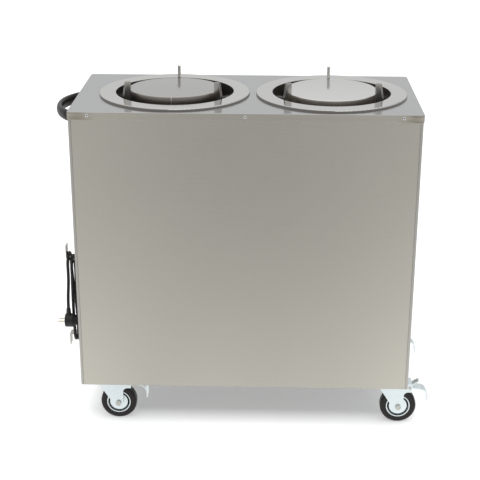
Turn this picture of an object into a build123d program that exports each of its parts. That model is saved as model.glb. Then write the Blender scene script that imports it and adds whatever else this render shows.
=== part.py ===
from build123d import *
import math
import os

os.makedirs("parts", exist_ok=True)

# A two-well heated plate dispenser trolley. Millimetres, +X to the right, +Y away from
# the viewer (the plain long side faces -Y), +Z up, origin on the floor under the middle
# of the overall length and depth.

# ---- sheet and heights ----
sheet = 1.5                # folded stainless sheet
top_z = 900.0              # top of the worktop above the floor
caster_height = 131.5      # floor to the top of a caster plate
lip_height = 20.0          # turned-down edge of the top panel
lip_fit = 0.2              # between the turned-down edge and the cabinet walls

# ---- wells, which set the plan size ----
bore_clearance = 45.2      # rim of a platform to the wall of its well
ring_flange = 43.5         # width of the flat ring round a well
ring_rise = 5.8            # ring above the top panel
ring_edge_r = 2.2          # rounding of the ring's rim
left_margin = 56.0         # ring to the left end
right_margin = 23.0        # ring to the right end
well_gap = 17.0            # between the two rings
side_margin = 16.0         # ring to the long sides
hole_clearance = 1.5       # round a well in the top panel
floor_gap = 65.0           # base tray to the underside of a well
top_corner_r = 8.0         # plan corners of the top panel

# ---- cabinet walls and base ----
wrap = 8.0                 # how far an end panel runs round onto the long side
seam = 0.4                 # vertical seam between two panels
turn_in = 10.0             # turned-in bottom edge of a long wall
end_turn_in = 6.0          # and of an end wall
side_flange = 15.0         # turned-in vertical edges of the long walls
tray_sheet = 2.0
tray_rim = 25.0
tray_fit = 0.3
rail_gap = 1.5             # rail ends to the tray's rim
rail_width = 90.0
rail_height = 20.0

# ---- blind rivets ----
rivet_head_r = 4.0
rivet_head_h = 1.3
rivet_shank_r = 2.0
rivet_length = 5.0
rivet_bore_r = 1.35
rivet_bore_depth = 1.0
rivet_drop = 8.6           # rivet axis below the top
rivet_inset = 51.5         # outer rivets from the ends
end_rivet_y = 140.0
hole_fit = 0.1             # round a shank, on the radius

# ---- platforms ----
pan_r = 112.3
pan_skirt = 35.0
pan_edge_r = 2.0
pan_rise = {"left": 15.0, "right": 11.5}     # disc above the top panel, empty
pan_lean = {"left": 0.0, "right": 1.7}       # degrees, front edge low
skirt_seam = 0.8           # weld line down the front of the skirt
pivot_ball_r = 20.0        # domed head that the pan rests on
column_r = 14.0
column_length = 215.0
arm_sheet = 3.0
arm_root = 34.0
arm_tip = 15.0
arm_rib = 12.0
touch = 0.05               # gap where one piece only rests on another

# ---- plate guides, at the back and the two front quarters ----
guide_angles = (90.0, 210.0, 330.0)
guide_clearance = 8.7      # pan to guide
guide_standoff = 10.5      # guide to the well's wall
guide_thickness = 6.5
guide_rise = 46.0          # guide above the top panel
guide_taper = 5.0          # outer edge drawn in at the tip
guide_round = 11.0
guide_round_share = 0.7    # of the tip's width, the most that the rounding takes
guide_foot = 230.0         # lower end above the well's floor
bracket_height = 24.0
bracket_drop = 40.0        # upper bracket below the top

# ---- lift springs, between the guides ----
spring_angles = (30.0, 150.0, 270.0)
spring_od = 16.0
spring_wire = 1.6
spring_eye_r = 5.0
spring_neck = 1.5
spring_neck_r = 1.2
hook_drop = 29.0           # hook tab below the top
tab_sheet = 2.0
tab_width = 16.0
eye_hole_r = 3.0
eye_strip = 1.5            # edge of a tab or arm beyond the spring's axis

# ---- heating element on each well's floor ----
heater_r = 95.0
heater_tube_r = 4.25
heater_lift = 22.0
heater_gap_deg = 36.0
heater_bend = 12.0
heater_leg = 16.0          # terminals below the floor
collar_r = 8.0
collar_h = 4.0

# ---- push handle on the left end ----
handle_reach = 63.3        # outermost face from the end panel
handle_half_span = 104.0
handle_end_r = 30.0        # tight bends at the two ends
grip_half_thick = 8.7
grip_half_high = 14.9
handle_drop = 39.8         # grip centre below the top
foot_half_wide = 14.0
foot_half_high = 19.0
foot_thick = 4.0
foot_draft = 2.0
handle_bolt_r = 4.0
handle_bolt_head = 6.5
handle_bolt_head_h = 5.0
handle_bolt_depth = 10.0

# ---- controls on the left end, behind the cord ----
control_y = 55.0
control_drop = 215.0
control_width = 84.0
control_height = 170.0
control_corner = 5.0
control_rivet_inset = 7.0
knob_r = 22.0
knob_depth = 20.0
knob_below = 38.0          # knob centre below the plate's middle
knob_flutes = 12
knob_flute_r = 2.6
knob_gap = 1.0
pointer_width = 2.2
pointer_height = 0.8
shaft_r = 3.0
shaft_hole_r = 6.0
thermostat_r = 21.0
thermostat_depth = 34.0
switch_above = 48.0
switch_width = 24.0
switch_height = 32.0
switch_bezel = 2.5
switch_depth = 26.0
switch_well = 6.0
rocker_width = 17.0
rocker_half = 12.3
rocker_tilt = 7.0
rocker_proud = 4.5
rocker_dish = 1.5
rocker_play = 0.4
lamp_r = 5.5
lamp_above = 12.0
lamp_depth = 14.0

# ---- cord, cleats and plug on the left end ----
cord_d = 8.5
cord_standoff = 9.0        # first layer's axis from the end panel
layer_pitch = 10.5
layers = 4
hank_front_y = -100.0
hank_bend_r = 27.5
hank_top_drop = 438.5      # top of the cord's axis in the outer layer, below the top
hank_bottom_drop = 691.0
layer_sag = 8.0            # each inner layer's top bend lies lower
hank_start_drop = 470.0
hank_end_drop = 485.0
cleat_width = 28.0
cleat_sheet = 2.0
cleat_lip = 32.0
cleat_pad = 32.0
cleat_gap = 0.5            # cord to cleat
cleat_rivet_y = 7.0
gland_y = -70.0
gland_drop = 335.0         # elbow centre below the top
gland_r = 8.0
gland_tip_r = 6.2
gland_boot = 25.0
gland_flange_r = 13.0
gland_flange_t = 2.5
gland_sleeve_r = 6.0
gland_nut_r = 11.0
gland_nut_t = 5.0
plug_y = -124.0
plug_drop = 618.0
plug_face_gap = 9.8        # pin face beyond the cord's outer layer
plug_r = 19.0
plug_depth = 34.0
plug_shoulder = 22.0       # depth of the full-width part
plug_chamfer = 1.5
plug_back_r = 13.0
plug_boot = 17.0
plug_boot_r = 7.0
plug_boot_tip_r = 5.6
plug_notch = (12.0, 6.0, 3.0)
pin_r = 2.4
pin_length = 19.0
pin_root = 8.0
pin_pitch = 19.0

# ---- casters ----
wheel_r = 50.0
wheel_width = 30.0
tread_width = 16.0
tread_depth = 7.0
tyre_side_taper = 1.0
rim_r = 33.0
rim_wall = 2.5
rim_inset = 1.0            # rim's edge inside the tyre's side
cover_r = 26.0
cover_step_r = 20.0
cover_inset = 3.0
groove_depth = 8.0
boss_r = 12.0
trail = 32.0               # axle behind the swivel axis
plate_gap = {"left": 13.3, "right": 0.3}       # end wall's turned-in edge to a caster plate
plate_gap_y = 1.3          # long wall's turned-in edge to a caster plate
plate_x = 85.0
plate_y = 105.0
plate_sheet = 3.0
plate_corner = 7.0
bolt_x = 60.0              # bolt pattern of a caster plate
bolt_y = 80.0
slot_play = 4.0
bolt_r = 4.0
bolt_head_r = 7.5
bolt_head_h = 5.0
bolt_hole_r = 4.4
bolt_nut_h = 6.5
bolt_end = 2.0             # thread past the nut
race_r = 30.0
race_h = 7.2
race_edge = 2.5
race_gap = 0.3
head_r = 35.0
head_rim = 4.0
fork_sheet = 2.5
leg_gap = 18.0             # inner face of a fork leg from the wheel's middle
leg_front = 28.0           # leading edge of a leg at the head, ahead of the swivel
eye_r = 14.0
arm_reach = 68.0           # end of the bracket that carries the pedal
arm_depth = 22.5
arm_fillet = 12.0
kingpin_r = 6.0
kingpin_head_r = 9.5
kingpin_head_h = 3.0
axle_r = 5.0
axle_head_r = 8.0
axle_head_h = 5.5
axle_end = 2.0
run_fit = 0.08
side_play = 0.3

# ---- brake pedals ----
pedal_pivot_x = 62.0       # behind the swivel axis
pedal_pivot_z = 110.0
pedal_pin_r = 3.0
pedal_pin_head_r = 4.5
pedal_pin_head_h = 1.2
pedal_eye_r = 8.0
pedal_sheet = 3.0
pedal_width = 32.0
pedal_reach = 113.6        # tip behind the swivel axis
pedal_slope = 8.0          # degrees
pedal_bend_r = 25.0
pedal_tip_z = 66.0
pad_r = 7.0
pad_arm = 9.5
pad_angle = -104.6
tab_root_x = 65.0
tab_reach = 88.0
tab_top_z = 126.0
tab_half = 10.0

# ---- sizes that follow ----
bore_r = pan_r + bore_clearance              # inside of a well
tube_r = bore_r + sheet
ring_r = bore_r + ring_flange
ring_top = top_z + ring_rise
width = left_margin + 4 * ring_r + well_gap + right_margin
depth = 2 * (ring_r + side_margin)
well_x = {
    "left": -width / 2 + left_margin + ring_r,
    "right": width / 2 - right_margin - ring_r,
}
wall_w = width - 2 * (sheet + lip_fit)       # over the cabinet walls
wall_d = depth - 2 * (sheet + lip_fit)
wall_corner = top_corner_r - sheet - lip_fit
wall_bottom = caster_height - sheet
under_top = top_z - sheet
tray_z = caster_height
tray_top = tray_z + tray_sheet
rail_top = tray_top + tray_sheet             # upper face of a rail's web
floor_z = tray_top + floor_gap               # underside of a well
floor_top = floor_z + sheet
end_face = -wall_w / 2                       # outer face of the left end panel
plate_edge_x = wall_w / 2 - sheet - end_turn_in - plate_x / 2
plate_edge_y = wall_d / 2 - sheet - turn_in - plate_gap_y - plate_y / 2
caster_x = {"left": plate_gap["left"] - plate_edge_x, "right": plate_edge_x - plate_gap["right"]}
caster_y = {"front": -plate_edge_y, "rear": plate_edge_y}
guide_in = pan_r + guide_clearance
guide_out = bore_r - guide_standoff
spring_at = (pan_r + bore_r) / 2             # radius of the springs' circle
hook_z = top_z - hook_drop
handle_z = top_z - handle_drop
control_z = top_z - control_drop
knob_z = control_z - knob_below
switch_z = control_z + switch_above
lamp_z = control_z + lamp_above
cord_r = cord_d / 2
hank_x = [end_face - cord_standoff - layer_pitch * i for i in range(layers)]
hank_back_y = hank_front_y + 2 * hank_bend_r
hank_mid_y = hank_front_y + hank_bend_r
bottom_bend_z = top_z - hank_bottom_drop + hank_bend_r
top_bend_z = [
    top_z - hank_top_drop - hank_bend_r - layer_sag * (layers - 1 - i)
    for i in range(layers)
]
cleat_slope = layer_sag / layer_pitch
cleat_reach = end_face - hank_x[-1] + cord_r + cleat_gap + cleat_sheet
gland_z = top_z - gland_drop
plug_z = top_z - plug_drop
plug_face_x = hank_x[-1] - plug_face_gap
fork_top = caster_height - plate_sheet - race_h - race_gap
fork_low = fork_top - fork_sheet
leg_out = leg_gap + fork_sheet


def save(name, *shapes):
    solids = []
    for shape in shapes:
        solids.extend(shape.solids())
    whole = solids[0] if len(solids) == 1 else Compound(children=solids)
    export_step(whole, f"parts/{name}.step")


def turned(points):
    """Solid of revolution about Z from (radius, height) points."""
    return revolve(Plane.XZ * make_face(Polyline(*points, close=True)), Axis.Z)


def slab(outline, bottom, thickness):
    return Pos(0, 0, bottom) * extrude(outline, thickness)


def profile_y(points, half):
    """Plate from (x, z) points, reaching half each way along Y."""
    return extrude(Plane.XZ * make_face(Polyline(*points, close=True)), half, both=True)


def outward(x, y, z, towards=-1):
    """Frame whose local +Z points along -X (or +X) and, for -X, whose local +X points up."""
    return Pos(x, y, z) * Rot(0, 90 * towards, 0)


def at_angle(solid, degrees, x=0.0):
    return Pos(x, 0, 0) * Rot(0, 0, degrees) * solid


def arc_middle(radius):
    """Inset, from the corner of a quarter round, of the point half way along it."""
    return radius * (1 - math.sqrt(0.5))


# ---------------------------------------------------------------- cabinet
def wall_band():
    outside = RectangleRounded(wall_w, wall_d, wall_corner)
    return outside - RectangleRounded(wall_w - 2 * sheet, wall_d - 2 * sheet, wall_corner - sheet)


def end_panel(side):
    """End wall that wraps a little way round onto both long sides."""
    keep = Pos(side * (wall_w - wrap), 0) * Rectangle(wall_w, 2 * depth)
    wall = slab(wall_band() & keep, wall_bottom, under_top - wall_bottom)
    strip_x = side * (wall_w / 2 - sheet - end_turn_in / 2)
    room = RectangleRounded(wall_w - 2 * sheet, wall_d - 2 * sheet, wall_corner - sheet)
    edge = slab(room & Pos(strip_x, 0) * Rectangle(end_turn_in, wall_d), wall_bottom, sheet)
    return wall + edge - rivet_holes()


def long_panel(side):
    half = wall_w / 2 - wrap - seam
    keep = Pos(0, side * depth) * Rectangle(2 * half, 2 * depth)
    panel = slab(wall_band() & keep, wall_bottom, under_top - wall_bottom)
    edge_y = side * (wall_d / 2 - sheet - turn_in / 2)
    edge_half = wall_w / 2 - sheet - end_turn_in - seam
    panel += slab(Pos(0, edge_y) * Rectangle(2 * edge_half, turn_in), wall_bottom, sheet)
    flange_low = tray_top + tray_rim + tray_fit
    flange_y = side * (wall_d / 2 - side_flange / 2)
    for x in (-half + sheet / 2, half - sheet / 2):
        flange = Pos(x, flange_y) * Rectangle(sheet, side_flange)
        panel += slab(flange, flange_low, under_top - flange_low)
    return panel - rivet_holes()


def hole_x(y, z, radius):
    """Cutter along X through the left end."""
    return outward(end_face, y, z) * Cylinder(radius, 40)


def switch_opening():
    size_y = switch_width - 2 * switch_bezel + rocker_play
    size_z = switch_height - 2 * switch_bezel + rocker_play
    return Pos(end_face, control_y, switch_z) * Box(40, size_y, size_z)


def control_cuts():
    return [
        hole_x(control_y, knob_z, shaft_hole_r),
        hole_x(control_y, lamp_z, lamp_r),
        switch_opening(),
    ]


def left_panel():
    """The left end also takes the controls, the gland and the handle's bolts."""
    cuts = control_cuts() + [hole_x(gland_y, gland_z, gland_sleeve_r + hole_fit)]
    for y in (-handle_half_span, handle_half_span):
        cuts.append(hole_x(y, handle_z, handle_bolt_r + hole_fit))
    return end_panel(-1) - cuts


def base_tray():
    w = wall_w - 2 * (sheet + tray_fit)
    d = wall_d - 2 * (sheet + tray_fit)
    outside = slab(RectangleRounded(w, d, wall_corner - sheet), tray_z, tray_sheet + tray_rim)
    room = RectangleRounded(w - 2 * tray_sheet, d - 2 * tray_sheet, wall_corner - sheet - tray_sheet)
    return outside - slab(room, tray_top, tray_rim) - bolt_holes()


def base_rails():
    """Two channels across the tray, over the casters, that take the caster bolts."""
    length = wall_d - 2 * (sheet + tray_fit + tray_sheet + rail_gap)
    rails = []
    for x in caster_x.values():
        channel = Pos(0, 0, rail_height / 2) * Box(rail_width, length, rail_height)
        room = Box(rail_width - 2 * tray_sheet, length, rail_height)
        channel -= Pos(0, 0, tray_sheet + rail_height / 2) * room
        rails.append(Pos(x, 0, tray_top) * channel - bolt_holes())
    return rails


def top_panel():
    plate = slab(RectangleRounded(width, depth, top_corner_r), top_z - lip_height, lip_height)
    room = RectangleRounded(width - 2 * sheet, depth - 2 * sheet, top_corner_r - sheet)
    plate -= slab(room, top_z - lip_height, lip_height - sheet)
    plate = fillet(plate.faces().sort_by(Axis.Z)[-1].outer_wire().edges(), 0.9 * sheet)
    for x in well_x.values():
        plate -= Pos(x, 0, top_z) * Cylinder(tube_r + hole_clearance, 4 * sheet)
    return plate - rivet_holes()


def top_rivet_frames():
    """Rivets round the top panel's edge, local +Z pointing out of the wall."""
    z = top_z - rivet_drop
    frames = []
    for side in (-1, 1):
        for x in (-width / 2 + rivet_inset, 0, width / 2 - rivet_inset):
            frames.append(Pos(x, side * depth / 2, z) * Rot(-90 * side, 0, 0))
        for y in (-end_rivet_y, end_rivet_y):
            frames.append(outward(side * width / 2, y, z, side))
    return frames


def end_rivet_frames():
    """Rivets of the control plate and of the two cleats."""
    frames = []
    for dy in (-1, 1):
        y = control_y + dy * (control_width / 2 - control_rivet_inset)
        for dz in (-1, 1):
            z = control_z + dz * (control_height / 2 - control_rivet_inset)
            frames.append(outward(end_face - sheet, y, z))
        for z in cleat_pad_z():
            frames.append(outward(end_face - cleat_sheet, hank_mid_y + dy * cleat_rivet_y, z))
    return frames


def rivet_holes():
    cut = Cylinder(rivet_shank_r + hole_fit, 4 * rivet_length)
    return [frame * cut for frame in top_rivet_frames() + end_rivet_frames()]


def blind_rivets():
    rivet = turned([
        (rivet_bore_r, rivet_head_h - rivet_bore_depth), (rivet_bore_r, rivet_head_h),
        (0.6 * rivet_head_r, rivet_head_h), (rivet_head_r, 0.3 * rivet_head_h), (rivet_head_r, 0),
        (rivet_shank_r, 0), (rivet_shank_r, -rivet_length), (0, -rivet_length),
        (0, rivet_head_h - rivet_bore_depth),
    ])
    return [frame * rivet for frame in top_rivet_frames() + end_rivet_frames()]


# ---------------------------------------------------------------- wells
def well_tube(side):
    """Drawn tube with a flat ring that rests on the top panel, and three spring tabs."""
    r = ring_edge_r
    k = arc_middle(r)
    s = sheet
    m = arc_middle(s)
    outline = [
        Polyline((0, floor_top), (0, floor_z), (tube_r, floor_z), (tube_r, ring_top - s),
                 (ring_r - s, ring_top - s), (ring_r - s, top_z), (ring_r, top_z), (ring_r, ring_top - r)),
        ThreePointArc((ring_r, ring_top - r), (ring_r - k, ring_top - k), (ring_r - r, ring_top)),
        Line((ring_r - r, ring_top), (bore_r + s, ring_top)),
        ThreePointArc((bore_r + s, ring_top), (bore_r + m, ring_top - m), (bore_r, ring_top - s)),
        Polyline((bore_r, ring_top - s), (bore_r, floor_top), (0, floor_top)),
    ]
    tube = revolve(Plane.XZ * make_face(outline), Axis.Z)
    for angle in spring_angles:
        tube += at_angle(hook_tab(), angle)
    for leg in heater_ends():
        tube -= Pos(leg.X, leg.Y, floor_z) * Cylinder(heater_tube_r + hole_fit, 4 * sheet)
    return Pos(well_x[side], 0, 0) * tube


def eye_drop(thickness):
    """How far an eye's centre hangs from the middle of the sheet that carries it."""
    inside = spring_eye_r - spring_wire / 2
    return math.sqrt(inside ** 2 - eye_strip ** 2) - thickness / 2 - touch


def eye_hole_offset(thickness):
    return math.sqrt(spring_eye_r ** 2 - eye_drop(thickness) ** 2)


def hook_tab():
    inner = spring_at - eye_strip
    length = bore_r + sheet / 2 - inner
    tab = Pos(inner + length / 2, 0, hook_z) * Box(length, tab_width, tab_sheet)
    return tab - Pos(spring_at + eye_hole_offset(tab_sheet), 0, hook_z) * Cylinder(eye_hole_r, 2 * tab_sheet)


def heater_ends():
    """Where the two legs of a heating element pass the well's floor."""
    half = math.radians(heater_gap_deg / 2)
    x = heater_r * math.cos(half) + heater_bend * math.sin(half)
    y = heater_r * math.sin(half) - heater_bend * math.cos(half)
    return [Vector(x, -y, 0), Vector(x, y, 0)]


def heater(side):
    """Tubular element: a nearly closed ring whose ends turn down through the floor."""
    z = floor_top + heater_lift
    half = heater_gap_deg / 2
    edges = [CenterArc((0, 0, z), heater_r, half, 360 - heater_gap_deg).edge()]
    for turn, leg in zip((-1, 1), heater_ends()):
        a = math.radians(turn * half)
        start = Vector(heater_r * math.cos(a), heater_r * math.sin(a), z)
        centre = start - Vector(0, 0, heater_bend)
        low = Vector(leg.X, leg.Y, z - heater_bend)
        middle = centre + (low - centre + Vector(0, 0, heater_bend)).normalized() * heater_bend
        edges.append(ThreePointArc(start, middle, low).edge())
        edges.append(Line(low, Vector(leg.X, leg.Y, floor_z - heater_leg)).edge())
    wire = Wire(edges)
    element = sweep(Plane(origin=wire @ 0, z_dir=wire % 0) * Circle(heater_tube_r), path=wire)
    for leg in heater_ends():
        element += Pos(leg.X, leg.Y, floor_top + collar_h / 2) * Cylinder(collar_r, collar_h)
    return Pos(well_x[side], 0, 0) * element


def plate_guides(side):
    """Three folded channels, closed towards the plates and drawn in at the tip."""
    low = floor_top + guide_foot
    high = top_z + guide_rise
    leg = make_face(Polyline(
        (guide_in, low), (guide_out, low), (guide_out, ring_top), (guide_out - guide_taper, high),
        (guide_in, high), close=True))
    corner = leg.vertices().sort_by(Axis.Y)[-2:].sort_by(Axis.X)[-1]
    tip = guide_out - guide_taper - guide_in
    leg = fillet(corner, min(guide_round, tip * guide_round_share))
    channel = extrude(Plane.XZ * leg, guide_thickness / 2, both=True)
    inside = guide_thickness - 2 * sheet
    room = Pos(guide_in + sheet + guide_out / 2, 0, (low + high) / 2)
    channel -= room * Box(guide_out, inside, 2 * (high - low))
    bore = Cylinder(bore_r - touch, 4 * top_z)
    reach = guide_standoff + guide_thickness + sheet
    for z in (top_z - bracket_drop, low + bracket_height):
        bracket = Pos(guide_out - guide_thickness + reach / 2, 0, z) * Box(reach, inside, bracket_height)
        channel += bracket & bore
    return [at_angle(channel, angle, well_x[side]) for angle in guide_angles]


# ---------------------------------------------------------------- platforms
def column_top(side):
    return top_z + pan_rise[side] - sheet - touch


def platform_pan(side):
    """Inverted round pan; it rocks on the column's domed head."""
    z = top_z + pan_rise[side]
    r = pan_edge_r
    k = arc_middle(r)
    outline = [
        Line((0, z), (pan_r - r, z)),
        ThreePointArc((pan_r - r, z), (pan_r - k, z - k), (pan_r, z - r)),
        Polyline((pan_r, z - r), (pan_r, z - pan_skirt), (pan_r - sheet, z - pan_skirt),
                 (pan_r - sheet, z - sheet), (0, z - sheet), (0, z)),
    ]
    pan = revolve(Plane.XZ * make_face(outline), Axis.Z)
    pan -= Pos(0, -pan_r, z - r - pan_skirt / 2) * Box(skirt_seam, sheet, pan_skirt)
    pivot = column_top(side) - pivot_ball_r
    lean = Pos(0, 0, pivot) * Rot(pan_lean[side], 0, 0) * Pos(0, 0, -pivot)
    return Pos(well_x[side], 0, 0) * lean * pan


def carriage(side):
    """Column under the pan, with three arms that hang on the lift springs."""
    top = column_top(side)
    centre = top - pivot_ball_r
    half_turn = math.asin(column_r / pivot_ball_r) / 2
    crown = (pivot_ball_r * math.sin(half_turn), centre + pivot_ball_r * math.cos(half_turn))
    shoulder = centre + math.sqrt(pivot_ball_r ** 2 - column_r ** 2)
    foot = top - column_length
    outline = [
        ThreePointArc((0, top), crown, (column_r, shoulder)),
        Polyline((column_r, shoulder), (column_r, foot), (0, foot), (0, top)),
    ]
    frame = revolve(Plane.XZ * make_face(outline), Axis.Z)
    outer = spring_at + eye_strip
    arm = make_face(Polyline(
        (0, -arm_root / 2), (outer, -arm_tip / 2), (outer, arm_tip / 2), (0, arm_root / 2), close=True))
    arm = slab(arm, foot, arm_sheet)
    arm -= Pos(spring_at - eye_hole_offset(arm_sheet), 0, foot) * Cylinder(eye_hole_r, 4 * arm_sheet)
    rib_end = spring_at - 2 * spring_eye_r - 2 * eye_hole_r
    rib_side = [(0, foot), (rib_end, foot), (rib_end / 2, foot - arm_rib), (0, foot - arm_rib)]
    rib = profile_y(rib_side, arm_sheet / 2)
    for angle in spring_angles:
        frame += at_angle(arm + rib, angle)
    return Pos(well_x[side], 0, 0) * frame


def lift_springs(side):
    """Three close-wound extension springs from the well's tabs to the carriage's arms."""
    eye_high = hook_z - eye_drop(tab_sheet)
    eye_low = column_top(side) - column_length + arm_sheet / 2 + eye_drop(arm_sheet)
    reach = spring_eye_r + spring_neck
    body = eye_high - eye_low - 2 * reach
    spring = Pos(0, 0, (eye_high + eye_low) / 2) * Cylinder(spring_od / 2, body)
    eye = Rot(90, 0, 0) * Torus(spring_eye_r, spring_wire / 2)
    for z, turn in ((eye_high, -1), (eye_low, 1)):
        spring += Pos(0, 0, z) * eye
        spring += Pos(0, 0, z + turn * reach) * Cylinder(spring_neck_r, 2 * spring_neck + spring_wire)
    return [at_angle(Pos(spring_at, 0, 0) * spring, angle, well_x[side]) for angle in spring_angles]


# ---------------------------------------------------------------- push handle
def handle_path():
    """Three-centred bow in plan, from the front foot round to the rear foot."""
    a = handle_half_span
    b = handle_reach - grip_half_thick
    r = handle_end_r
    big = (a * a + b * b - 2 * a * r) / (2 * (b - r))
    end_turn = math.pi / 2 - math.atan2(a - r, big - b)
    crown = Vector(end_face - b, 0, handle_z)

    def on_end(side, t):
        return Vector(end_face - r * math.sin(t), side * (a - r + r * math.cos(t)), handle_z)

    first = ThreePointArc(on_end(-1, 0), on_end(-1, end_turn / 2), on_end(-1, end_turn))
    middle = ThreePointArc(on_end(-1, end_turn), crown, on_end(1, end_turn))
    last = ThreePointArc(on_end(1, end_turn), on_end(1, end_turn / 2), on_end(1, 0))
    return Wire([first.edge(), middle.edge(), last.edge()])


def push_handle():
    """Moulded grip of oval section with a flared foot at each end."""
    front = Plane(origin=(end_face, -handle_half_span, handle_z), x_dir=(0, 1, 0), z_dir=(-1, 0, 0))
    handle = sweep(front * Ellipse(grip_half_thick, grip_half_high), path=handle_path())
    foot = loft([
        front * Ellipse(foot_half_wide, foot_half_high),
        front.offset(foot_thick) * Ellipse(foot_half_wide - foot_draft, foot_half_high - foot_draft),
    ])
    handle += foot + Pos(0, 2 * handle_half_span, 0) * foot
    bore = Cylinder(handle_bolt_r + hole_fit, 2 * (handle_bolt_depth - sheet + touch))
    for y in (-handle_half_span, handle_half_span):
        handle -= outward(end_face, y, handle_z) * bore
    return handle


def handle_bolts():
    """A bolt at each end, from inside the end panel into the handle's foot."""
    head = Pos(0, 0, -handle_bolt_head_h) * extrude(RegularPolygon(handle_bolt_head, 6), handle_bolt_head_h)
    bolt = head + Pos(0, 0, handle_bolt_depth / 2) * Cylinder(handle_bolt_r, handle_bolt_depth)
    inner = end_face + sheet
    return [outward(inner, y, handle_z) * bolt for y in (-handle_half_span, handle_half_span)]


# ---------------------------------------------------------------- controls
def control_plate():
    face = RectangleRounded(control_height, control_width, control_corner)
    plate = outward(end_face, control_y, control_z) * extrude(face, sheet)
    return plate - control_cuts() - rivet_holes()


def thermostat():
    """Round thermostat behind the panel, with the shaft that carries the knob."""
    inner = sheet
    length = 2 * sheet + knob_gap + 0.7 * knob_depth
    body = Pos(0, 0, -inner - thermostat_depth / 2) * Cylinder(thermostat_r, thermostat_depth)
    body += Pos(0, 0, length / 2 - inner) * Cylinder(shaft_r, length)
    return outward(end_face, control_y, knob_z) * body


def thermostat_knob():
    """Fluted knob with a raised pointer, on the thermostat's shaft."""
    low = sheet + knob_gap
    high = low + knob_depth
    rim = 2.0
    knob = turned([
        (0, high), (knob_r - 2 * rim, high), (knob_r - rim, high - rim), (knob_r, low + rim),
        (knob_r, low), (0, low),
    ])
    flute = Pos(knob_r + rim / 2, 0, (low + high) / 2 + rim) * Cylinder(knob_flute_r, knob_depth)
    for i in range(knob_flutes):
        knob -= at_angle(flute, 360 / knob_flutes * (i + 0.5))
    pointer = Box(knob_r - 3 * rim, pointer_width, 2 * pointer_height)
    knob += Pos(knob_r / 2, 0, high) * pointer
    knob -= Pos(0, 0, low) * Cylinder(shaft_r + touch, 1.5 * knob_depth)
    return outward(end_face, control_y, knob_z) * knob


def power_switch():
    """Switch housing: bezel on the control plate, body behind it and a well for the rocker."""
    deep = switch_height - 2 * switch_bezel
    wide = switch_width - 2 * switch_bezel
    housing = Pos(0, 0, switch_bezel / 2) * Box(switch_height, switch_width, switch_bezel)
    housing += Pos(0, 0, -switch_depth / 2) * Box(deep, wide, switch_depth)
    window = Box(2 * (rocker_half + rocker_play), rocker_width + 2 * rocker_play, 2 * switch_well)
    return outward(end_face - sheet, control_y, switch_z) * (housing - window)


def switch_rocker():
    """Rocker with a dished face; its ends are round about the pivot."""
    side = make_face(Polyline(
        (-rocker_half, 0), (-rocker_half, rocker_proud), (0, rocker_proud - rocker_dish),
        (rocker_half, rocker_proud), (rocker_half, 0), (0, -switch_well / 2), close=True))
    side = side & Circle(rocker_half)
    rocker = extrude(Plane.XZ * side, rocker_width / 2, both=True)
    return outward(end_face - sheet, control_y, switch_z) * Rot(0, -rocker_tilt, 0) * rocker


def pilot_lamp():
    lens = turned([
        (0, sheet + 4), (0.7 * lamp_r, sheet + 3.2), (lamp_r + 1.5, sheet + 1), (lamp_r + 1.5, sheet),
        (lamp_r - hole_fit, sheet), (lamp_r - hole_fit, -lamp_depth), (0, -lamp_depth),
    ])
    return outward(end_face, control_y, lamp_z) * lens


# ---------------------------------------------------------------- cord, cleats, plug
def cleat_seat():
    """Height above a bend's centre at which the cleat's corners clear the cord."""
    inner = hank_bend_r - cord_r * math.hypot(1, cleat_slope) - cleat_gap
    return math.sqrt(inner ** 2 - (cleat_width / 2) ** 2)


def arm_surface(reach):
    """Upper face of the upper cleat's arm at a distance from the end panel."""
    second_layer = end_face - hank_x[1]
    return top_bend_z[1] + cleat_seat() + (reach - second_layer) * cleat_slope


def cleat_pad_z():
    """Middle of each cleat's pad: below the upper arm, above the lower arm."""
    return arm_surface(0) - cleat_pad / 2, bottom_bend_z - cleat_seat() + cleat_pad / 2


def cord_cleats():
    """Two bent strips whose lips keep the hank on."""
    t = cleat_sheet
    x0, x1 = end_face, end_face - cleat_reach
    under = t * math.hypot(1, cleat_slope)
    high = arm_surface(0)
    upper = profile_y([
        (x0, high - cleat_pad), (x0, high), (x1 + t, arm_surface(cleat_reach - t)),
        (x1 + t, arm_surface(cleat_reach) + cleat_lip), (x1, arm_surface(cleat_reach) + cleat_lip),
        (x1, arm_surface(cleat_reach) - under), (x0 - t, arm_surface(t) - under), (x0 - t, high - cleat_pad),
    ], cleat_width / 2)
    low = bottom_bend_z - cleat_seat()
    lower = profile_y([
        (x0, low), (x0, low + cleat_pad), (x0 - t, low + cleat_pad), (x0 - t, low + t), (x1, low + t),
        (x1, low - cleat_lip), (x1 + t, low - cleat_lip), (x1 + t, low),
    ], cleat_width / 2)
    cuts = rivet_holes()
    return [Pos(0, hank_mid_y, 0) * strip - cuts for strip in (upper, lower)]


def cable_gland():
    """Elbow strain relief: flange and nut on the panel, tapered boot pointing down."""
    x = hank_x[0]
    along = Rot(0, 90, 0)
    boot = turned([(0, 0), (gland_r, 0), (gland_tip_r, -gland_boot), (0, -gland_boot)])
    gland = boot + Sphere(gland_r) + Pos((end_face - x) / 2, 0, 0) * along * Cylinder(gland_r, end_face - x)
    wall = end_face - x
    gland += Pos(wall - gland_flange_t / 2, 0, 0) * along * Cylinder(gland_flange_r, gland_flange_t)
    sleeve = sheet + gland_nut_t + sheet
    gland += Pos(wall + sleeve / 2, 0, 0) * along * Cylinder(gland_sleeve_r, sleeve)
    gland += Pos(wall + sheet, 0, 0) * along * extrude(RegularPolygon(gland_nut_r, 6), gland_nut_t)
    return Pos(x, gland_y, gland_z) * gland


def lead_route():
    """Gland to the first run of the hank."""
    x = hank_x[0]
    high = gland_z - gland_boot
    low = top_z - hank_start_drop
    return [(x, gland_y, high), (x, gland_y, high - 28), (x, hank_front_y, low + 32), (x, hank_front_y, low)]


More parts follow.
